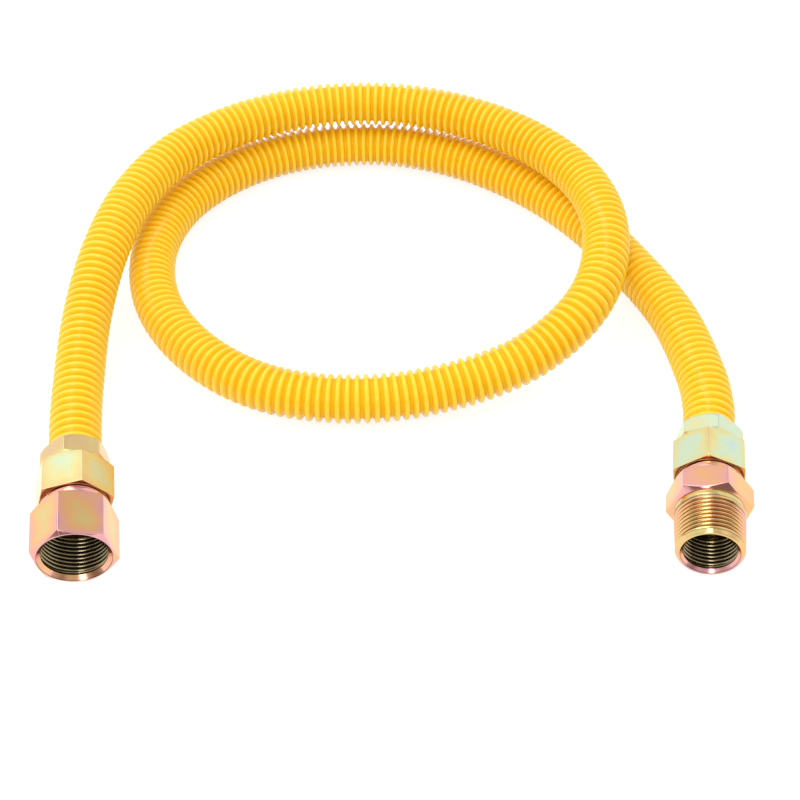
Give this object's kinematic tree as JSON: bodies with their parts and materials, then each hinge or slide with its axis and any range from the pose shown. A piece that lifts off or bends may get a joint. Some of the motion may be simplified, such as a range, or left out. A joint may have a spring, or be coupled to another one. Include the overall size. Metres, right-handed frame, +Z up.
{
  "type": "flexible gas hose",
  "caption": "Coated corrugated gas connector lying in a loose coil, with loose flare nuts drawing a female and a male pipe thread adapter onto its ends.",
  "frame": {"origin": "on the floor that the hose lies on, under the middle of the box around the two end fittings", "axes": "+X from the female end to the male end, +Y from the mouths back over the coil, +Z up"},
  "size_m": [0.2765, 0.2837, 0.0418],
  "materials": {
    "jacket": "glossy yellow corrugated coating",
    "tube": "bare stainless steel",
    "nut_plating": "pale yellow zinc plating, slightly iridescent",
    "adapter_plating": "gold zinc plating with pink and green drifts"
  },
  "bodies": {
    "hose": {"hose_jacket": "jacket", "gas_tube": "tube"},
    "left_nut": {"left_flare_nut": "nut_plating"},
    "right_nut": {"right_flare_nut": "nut_plating"},
    "female_end": {"female_adapter": "adapter_plating"},
    "male_end": {"male_adapter": "adapter_plating"}
  },
  "joints": [
    {"name": "left_nut_turn", "type": "hinge", "parent": "hose", "child": "left_nut", "pos_m": [-0.12327, 0.01849, 0.0182], "axis": [-0.139, 0.9893, 0.0436], "range_deg": [0, 1800]},
    {"name": "female_adapter_slide", "type": "slide", "parent": "hose", "child": "female_end", "axis": [0.139, -0.9893, -0.0436], "range_m": [0, 0.0079]},
    {"name": "right_nut_turn", "type": "hinge", "parent": "hose", "child": "right_nut", "pos_m": [0.12412, 0.03143, 0.0159], "axis": [0.1349, 0.9909, 0], "range_deg": [0, 1800]},
    {"name": "male_adapter_slide", "type": "slide", "parent": "hose", "child": "male_end", "axis": [-0.1349, -0.9909, 0], "range_m": [0, 0.0079]}
  ],
  "couplings": [
    {"joint": "left_nut_turn", "follows": "female_adapter_slide", "rad_per_m": 3957.9},
    {"joint": "right_nut_turn", "follows": "male_adapter_slide", "rad_per_m": 3957.9}
  ]
}
